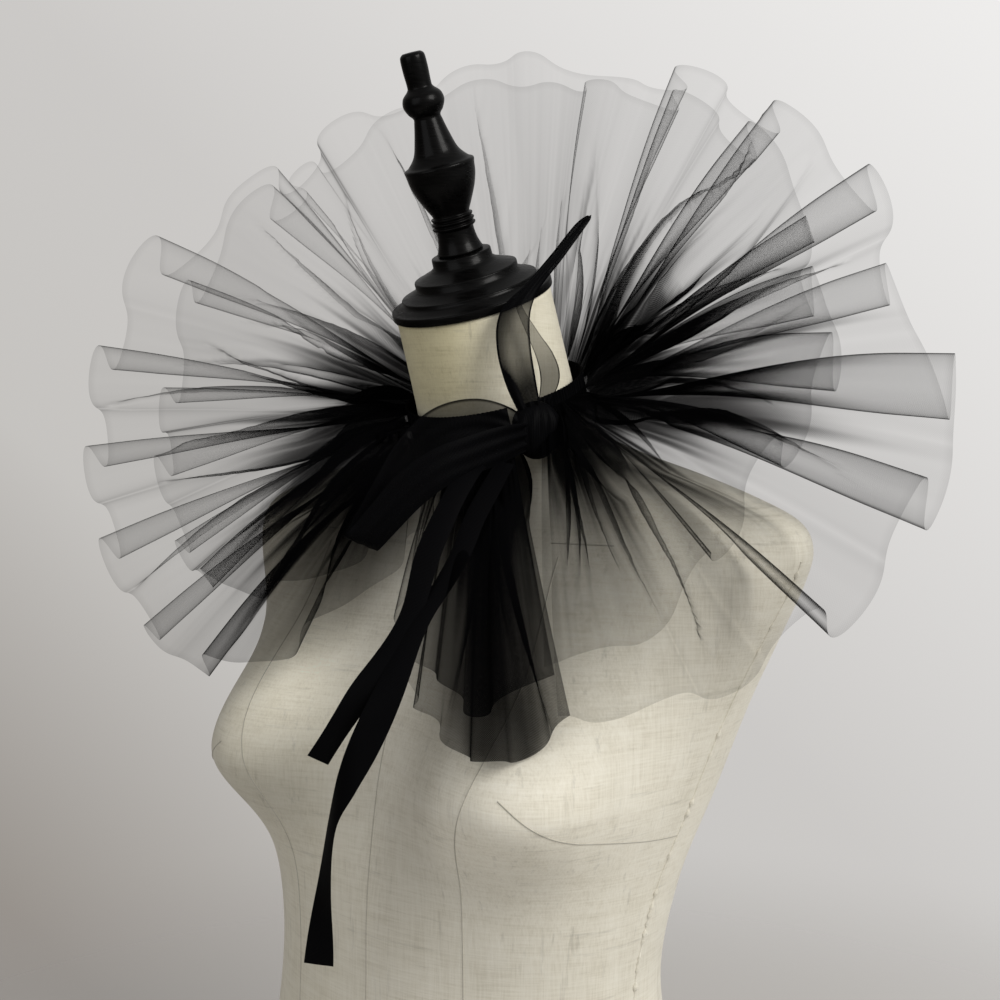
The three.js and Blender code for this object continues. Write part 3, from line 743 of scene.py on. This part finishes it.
def flounce(name, size, around, out, flat, folds, seed, node):
    """A gathered net flounce: listed flutes, and pleats that run out from the band."""
    rng = np.random.default_rng(seed)
    u = np.linspace(0, 1, around)
    v = np.linspace(0, 1, out) ** 0.95
    uu, vv = np.meshgrid(u, v, indexing="ij")
    k = uu * LAST
    p, normal, along = flounce_surface(size, k, vv)
    run = run_along(p)[1]
    push = np.zeros_like(uu)
    lay = np.zeros_like(uu)
    streak = np.zeros_like(uu)
    for place, end, height, wide, over in folds:
        bend = rng.uniform(-0.6, 0.6)
        bow = rng.uniform(-0.25, 0.25)
        at = (place + bend * v + bow * np.sin(np.pi * v)) / LAST * (around - 1)
        i = np.clip(at.astype(int), 0, around - 1)
        off = run - run[i, np.arange(out)][None, :]
        t = np.clip(vv / end, 0, 1)
        swell = np.sin(np.pi * t) ** 0.8
        w = wide * (0.3 + 0.7 * t)
        bell = np.exp(-((off / w) ** 2))
        push += height * swell * bell
        lay += over * swell * bell
        crest = np.exp(-((off / (0.7 + 1.3 * (1 - t))) ** 2))
        streak += 7 * crest * (1 - step(0.55, 1.0, t))
    p = p + normal * push[..., None] + along * lay[..., None]
    roam = lambda knots: wander(u, rng.integers(1000000), knots)[:, None]
    # the close gathers at the band
    fine = np.zeros_like(uu)
    for cycles, height in ((137, 0.8), (211, 0.6)):
        vary = 0.6 + 0.4 * roam(60)
        drift = 2.5 * roam(40)
        fine += height * vary * np.sin(2 * np.pi * cycles * uu + drift)
    fine *= step(0.0, 0.08, vv) * (1 - step(0.15, 0.5, vv))
    p = p + normal * fine[..., None]
    p = clear_of_form(p, size["clear"] * (0.6 + 0.4 * vv) + 0.5 * fine + 0.8 * push)
    # how closely the cloth is packed: its flat length over the length that it takes up
    gap = run_along(p)[0]
    packed = flat[0] / MM / (around - 1) / np.maximum(even(gap, 61), 1e-3)
    # denser edges, for how the net looks where it turns edge-on to SEEN_ALONG or bends sharply
    side = np.gradient(p, axis=0)
    skin = unit(np.cross(side, np.gradient(p, axis=1)))
    turn = np.linalg.norm(np.gradient(unit(side), axis=0), axis=-1) / np.maximum(gap, 1e-3)
    slope = 1 / np.maximum(np.abs(skin @ SEEN_ALONG), 0.07)
    edge_on = 2.0 * np.clip(slope - 3.0, 0, 9) * np.clip(turn * 14, 0.05, 1)
    edge_on += 0.8 * np.clip(slope - 1, 0, 2.5) * np.clip(turn * 26, 0, 1)
    # the gathers' own density, uneven strand by strand and fading from the band
    get = lambda name: column(FLUTES, "index", name, k)
    reach_of = 1 + 0.40 * roam(150) + 0.30 * roam(430)
    strand = np.clip(1 + 0.6 * roam(380) + 0.5 * roam(800), 0.15, 2.2)
    root_pack = get("dense") * strand * np.exp(-((vv / (get("spread") * reach_of)) ** 2.4))
    hair = 1 + 0.7 * roam(700) * np.exp(-vv / 0.45)
    layers = (np.maximum(packed, 0.85) * hair + root_pack + streak + edge_on) * get("pile")
    layers += 0.7 * step(0.987, 1.0, vv)  # the hem's line
    cover = 1 - (1 - NET_COVER) ** np.maximum(layers, 0.3)
    uv = np.stack([uu * flat[0], vv * flat[1]], -1)
    faces = grid_faces(around, out)
    obj = mesh_object(name, p, faces, NET_CLOTH, attributes=dict(cover=cover), uv=uv)
    return piece(obj, "net", node)


# Long pleats placed all round: flute number, how far out it ends, height, width and lie.
LONG_PLEATS = [
    (0.6, 0.70, 3, 3.0, 6), (1.2, 0.80, -3, 3.0, 7), (1.75, 0.95, 4, 4.0, -8),
    (3.45, 0.90, 4, 5.0, 9), (4.55, 0.80, 5, 5.0, -9), (5.6, 0.90, 4, 5.0, 9),
    (6.5, 0.95, 5, 6.0, -11), (7.5, 0.97, 4, 5.0, 10), (8.25, 0.90, 4, 5.0, -9),
    (9.15, 0.62, 3, 4.0, 6), (10.35, 0.98, 4, 5.0, 9), (11.75, 0.96, 4, 5.0, -9),
    (12.6, 0.80, 3, 4.0, 7), (13.5, 0.90, 4, 5.0, -9), (14.5, 0.86, 4, 5.0, 8),
    (15.4, 0.96, 4, 5.0, -9), (16.5, 0.80, 4, 5.0, 8), (17.55, 0.97, 5, 6.0, -10),
    (18.6, 0.90, 4, 5.0, 8), (19.5, 0.80, 3, 4.0, -7), (21.6, 0.75, 3, 3.5, 7),
    (23.5, 0.98, 4, 5.0, 9), (24.35, 0.98, 4, 5.0, -9),
]
SHORT_PLEATS = [
    (0.3, 0.90, 3, 3.0, 6), (1.5, 0.85, 3, 4.0, -7), (2.8, 0.90, 4, 5.0, 9),
    (3.9, 0.85, 4, 5.0, -9), (5.1, 0.92, 5, 5.0, 9), (6.2, 0.90, 4, 5.0, -9),
    (7.3, 0.90, 4, 5.0, 9), (8.6, 0.80, 3, 4.0, -7), (12.9, 0.80, 3, 4.0, 7),
    (14.1, 0.92, 4, 5.0, -8), (15.3, 0.90, 4, 5.0, 8), (16.4, 0.95, 4, 5.0, -9),
    (17.6, 0.85, 4, 5.0, 8), (19.1, 0.90, 4, 4.0, -7), (23.8, 0.90, 3, 4.0, 7),
]


def pleats(seed, number, placed):
    """The placed pleats, and lesser ones between the flutes in rows of the same kind."""
    rng = np.random.default_rng(seed)
    rows = list(placed)
    for i in range(number):
        place = (i + rng.uniform(0.1, 0.9)) / number * LAST
        end = 0.22 + 0.6 * rng.uniform(0, 1) ** 1.6
        lie = rng.uniform(4, 10) * rng.choice([-1, 1])
        rows.append((place, end, rng.uniform(-5, 6), rng.uniform(2.5, 6), lie))
    return rows


# ---------------------------------------------------------------- band, knot and ribbon
def make_band():
    around, out = 640, 9
    a = np.linspace(OPENING[0] + 3, OPENING[1] - 3, around)
    h = np.linspace(-0.5, 0.5, out)
    aa, hh = np.meshgrid(a, h, indexing="ij")
    ruche = 0.5 * np.sin(aa * 2.3) + 0.35 * np.sin(aa * 5.1 + 1.3) * (1 - 2 * np.abs(hh))
    p = band_point(aa, BAND["radius"] + 0.2 + ruche, hh * BAND["height"])
    uv = np.stack([aa / 360 * BAND_FLAT[0], hh * BAND_FLAT[1]], -1)
    obj = mesh_object("gathered_band", p, grid_faces(around, out), DENSE_RIBBON, uv=uv)
    piece(obj, "ribbon", "neck_band")


def ribbon_strip(name, rows, node, material, along_steps, cover=None, cup=0.0, pleat=0.0):
    """A ribbon through its stations, with a soft cup across it and pleats near its start, and
    near its end too if pleat is below 0. A sheer one has cover(station, -1 to 1 across it)."""
    names = ("x", "y", "z", "width", "turn", "tip")
    table = {n: [row[i] for row in rows] for i, n in enumerate(names)}
    table["index"] = list(range(len(rows)))
    last = len(rows) - 1
    get = lambda label, k: column(table, "index", label, k)
    middle = lambda k: np.stack([get("x", k), get("y", k), get("z", k)], -1)
    k = np.linspace(0, last, along_steps)
    way = unit(middle(np.minimum(last, k + 0.05)) - middle(np.maximum(0, k - 0.05)))
    turn, tip = np.radians(get("turn", k))[:, None], np.radians(get("tip", k))[:, None]
    lies = (np.cos(turn) * LEVEL + np.sin(turn) * UPRIGHT) * np.cos(tip) + np.sin(tip) * OUTWARD
    across = unit(lies - (lies * way).sum(-1, keepdims=True) * way)
    out = np.cross(across, way)
    wide = 25
    w = np.linspace(-1, 1, wide)[None, :]
    t = (k / last)[:, None]
    half = (get("width", k) / 2)[:, None]
    pinch = np.exp(-k / 0.7) + (np.exp(-(last - k) / 0.7) if pleat < 0 else 0)
    folds = abs(pleat) * (0.2 + pinch)[:, None] * np.sin(w * 9 + 1.2 * np.sin(t * 7))
    bow = cup * (1 - w**2) * np.sin(np.pi * np.clip(t, 0.05, 0.95))
    p = (
        middle(k)[:, None, :]
        + across[:, None, :] * (half * w)[..., None]
        + out[:, None, :] * (folds + bow)[..., None]
    )
    gone = np.linalg.norm(np.diff(middle(k), axis=0), axis=-1)
    run = np.concatenate([[0], np.cumsum(gone)])[:, None] * MM
    uv = np.stack(np.broadcast_arrays(run, w * half * MM), -1)
    attributes = {}
    if cover:
        woven_edge = SELVEDGE * step(0.84, 0.94, np.abs(w))
        attributes["cover"] = np.clip(cover(k[:, None], w) + woven_edge, 0, 1)
    faces = grid_faces(along_steps, wide)
    obj = mesh_object(name, p, faces, material, attributes=attributes, uv=uv)
    piece(obj, "ribbon", node)
    return obj, float(run[-1, 0]), float(2 * half.max() * MM)


def low_cover(k, _):
    """The low loop lets light through where it turns back up and over."""
    return 0.97 - 0.3 * step(9.0, 10.5, k) * (1 - step(12.6, 13.6, k))


def high_cover(k, w):
    """The high loop: sheer up its front, dense in its folded peak, sheer again behind."""
    front = 0.95 - 0.25 * step(0.7, 1.8, k) + 0.2 * step(0.1, 0.9, -w) * (k < 3.5)
    return front + 0.27 * step(3.0, 4.0, k) - 0.45 * step(8.6, 9.8, k) + 0.2 * step(11, 13, k)


def make_knot():
    """The ribbon drawn tight round the bow's middle: upright folds, pinched above and below."""
    rings, around = 60, 120
    t = np.linspace(-0.99, 0.99, rings)
    a = np.linspace(0, 2 * np.pi, around, endpoint=False)
    tt, aa = np.meshgrid(t, a, indexing="ij")
    r = (1 - np.abs(tt) ** 2.6) ** 0.5 * (0.93 + 0.07 * np.cos(2.6 * tt - 0.5))
    slack = np.sqrt(np.clip(1 - np.abs(tt), 0, 1))
    fold = 1 + 0.07 * np.abs(np.sin(5.5 * aa + 0.8 * tt + 0.4)) * slack
    fold += 0.03 * np.sin(13 * aa - 2 * tt) * slack - 0.04 * np.cos(3 * aa + 2 * tt)
    x = KNOT["wide"] * r * fold * np.cos(aa)
    y = KNOT["deep"] * r * fold * np.sin(aa)
    f = math.radians(KNOT["facing"] - 90)
    p = np.stack(
        [
            KNOT["x"] + x * math.cos(f) - y * math.sin(f),
            KNOT["y"] + x * math.sin(f) + y * math.cos(f),
            KNOT["z"] + KNOT["high"] * tt,
        ],
        -1,
    )
    uv = np.stack([aa * 0.01, tt * 0.01], -1)
    obj = mesh_object("ribbon_knot", p, ring_faces(rings, around), DENSE_RIBBON, uv=uv)
    piece(obj, "ribbon", "bow_knot")


# ---------------------------------------------------------------- camera, light and stage
TOWARD = Vector(OUTWARD)
ACROSS = Vector(LEVEL)
CAMERA = dict(away=0.84, high=0.527, aim=0.477, lens=49.3)
LIT_POINT = Vector((0, 0, 0.4))
AMBIENT = 0.62  # the wall's strength as a light, beside 1 as it looks


def point_at(obj, place, target):
    obj.location = place
    obj.rotation_euler = (target - place).to_track_quat("-Z", "Y").to_euler()
    bpy.context.collection.objects.link(obj)


def make_camera():
    data = bpy.data.cameras.new("camera")
    data.sensor_width = 36
    data.lens = CAMERA["lens"]
    data.clip_end = 50
    cam = bpy.data.objects.new("camera", data)
    place = TOWARD * CAMERA["away"] + Vector((0, 0, CAMERA["high"]))
    point_at(cam, place, Vector((0, 0, CAMERA["aim"])))
    bpy.context.scene.camera = cam


def area_light(name, place, size, power, colour):
    data = bpy.data.lights.new(name, "AREA")
    data.size = size
    data.energy = power
    data.color = colour
    point_at(bpy.data.objects.new(name, data), place, LIT_POINT)


def make_light():
    key = ACROSS * 1.05 + TOWARD * 1.15 + Vector((0, 0, 1.4))
    area_light("key", key, 0.8, 27, (1.0, 0.98, 0.95))
    fill = -ACROSS * 1.1 + TOWARD * 1.3 + Vector((0, 0, 0.8))
    area_light("fill", fill, 1.2, 6, (0.97, 0.98, 1.0))


def make_world():
    """A pale wall far behind: lighter up and to the key light's side."""
    world = bpy.data.worlds.new("studio")
    bpy.context.scene.world = world
    world.use_nodes = True
    tree = world.node_tree
    tree.nodes.clear()
    out = tree.nodes.new("ShaderNodeOutputWorld")
    back = tree.nodes.new("ShaderNodeBackground")
    where = tree.nodes.new("ShaderNodeTexCoord")
    dot = tree.nodes.new("ShaderNodeVectorMath")
    dot.operation = "DOT_PRODUCT"
    dot.inputs[1].default_value = ACROSS * 0.7 + Vector((0, 0, 0.7))
    span = tree.nodes.new("ShaderNodeMapRange")
    span.inputs["From Min"].default_value = -0.7
    span.inputs["From Max"].default_value = 0.7
    ramp = tree.nodes.new("ShaderNodeValToRGB")
    set_stops(
        ramp,
        [
            (0.0, (0.24, 0.22, 0.20)),
            (0.175, (0.31, 0.285, 0.26)),
            (0.33, (0.56, 0.545, 0.525)),
            (0.48, (0.60, 0.585, 0.57)),
            (0.8, (0.86, 0.85, 0.84)),
            (1.0, (0.92, 0.92, 0.91)),
        ],
    )
    tree.links.new(where.outputs["Generated"], dot.inputs[0])
    tree.links.new(dot.outputs["Value"], span.inputs["Value"])
    tree.links.new(span.outputs["Result"], ramp.inputs["Fac"])
    tree.links.new(ramp.outputs["Color"], back.inputs["Color"])
    ray = tree.nodes.new("ShaderNodeLightPath")
    power = tree.nodes.new("ShaderNodeMapRange")
    power.inputs["To Min"].default_value = AMBIENT
    tree.links.new(ray.outputs["Is Camera Ray"], power.inputs["Value"])
    tree.links.new(power.outputs["Result"], back.inputs["Strength"])
    tree.links.new(back.outputs["Background"], out.inputs["Surface"])


def make_floor():
    """A pale round floor that fades into the wall's colour at its rim."""
    radius, around = 1.2, 96
    m = Nodes("floor")
    m.set(Roughness=0.8, Base_Color=(0.52, 0.50, 0.48, 1))
    where = m.add("ShaderNodeTexCoord")
    far = m.add("ShaderNodeVectorMath", operation="LENGTH")
    m.link(where, "Object", far, 0)
    fade = m.add(
        "ShaderNodeMapRange",
        interpolation_type="SMOOTHSTEP",
        From_Min=0.26,
        From_Max=0.9,
        To_Min=1,
        To_Max=0,
    )
    m.link(far, "Value", fade, "Value")
    m.link(fade, "Result", m.shader, "Alpha")
    a = np.linspace(0, 2 * np.pi, around, endpoint=False)
    rim = np.stack([np.cos(a), np.sin(a), 0 * a], -1) * radius / MM
    points = np.concatenate([np.zeros((1, 3)), rim]) - (0, 0, 0.5)
    faces = [[0, i + 1, (i + 1) % around + 1] for i in range(around)]
    floor = mesh_object("floor", points, faces, m.material)


# ---------------------------------------------------------------- the whole
make_camera()
make_light()
make_world()
make_floor()

make_form()
make_seams()
make_head()
make_band()
make_knot()

folds = pleats(5, 40, LONG_PLEATS)
long_flounce = flounce("net_long", LONG, 2400, 40, FLAT_LONG, folds, 11, "flounce_long")
folds = pleats(6, 36, SHORT_PLEATS)
short_flounce = flounce("net_short", SHORT, 2000, 34, FLAT_SHORT, folds, 23, "flounce_short")

low, low_run, low_wide = ribbon_strip(
    "ribbon_loop_low", LOOP_LOW, "bow_loop_low", SHEER_RIBBON, 240, low_cover, cup=2.0, pleat=-0.8
)
high, high_run, _ = ribbon_strip(
    "ribbon_loop_high", LOOP_HIGH, "bow_loop_high", SHEER_RIBBON, 240, high_cover, cup=2.5, pleat=0.8
)
tail_a, a_run, a_wide = ribbon_strip(
    "ribbon_end_short", TAIL_SHORT, "ribbon_tail_short", DENSE_RIBBON, 120, cup=1.0
)
tail_b, b_run, b_wide = ribbon_strip(
    "ribbon_end_long", TAIL_LONG, "ribbon_tail_long", DENSE_RIBBON, 180, cup=1.2
)

scene = bpy.context.scene
scene.view_settings.view_transform = "Standard"
scene.cycles.transparent_max_bounces = 48
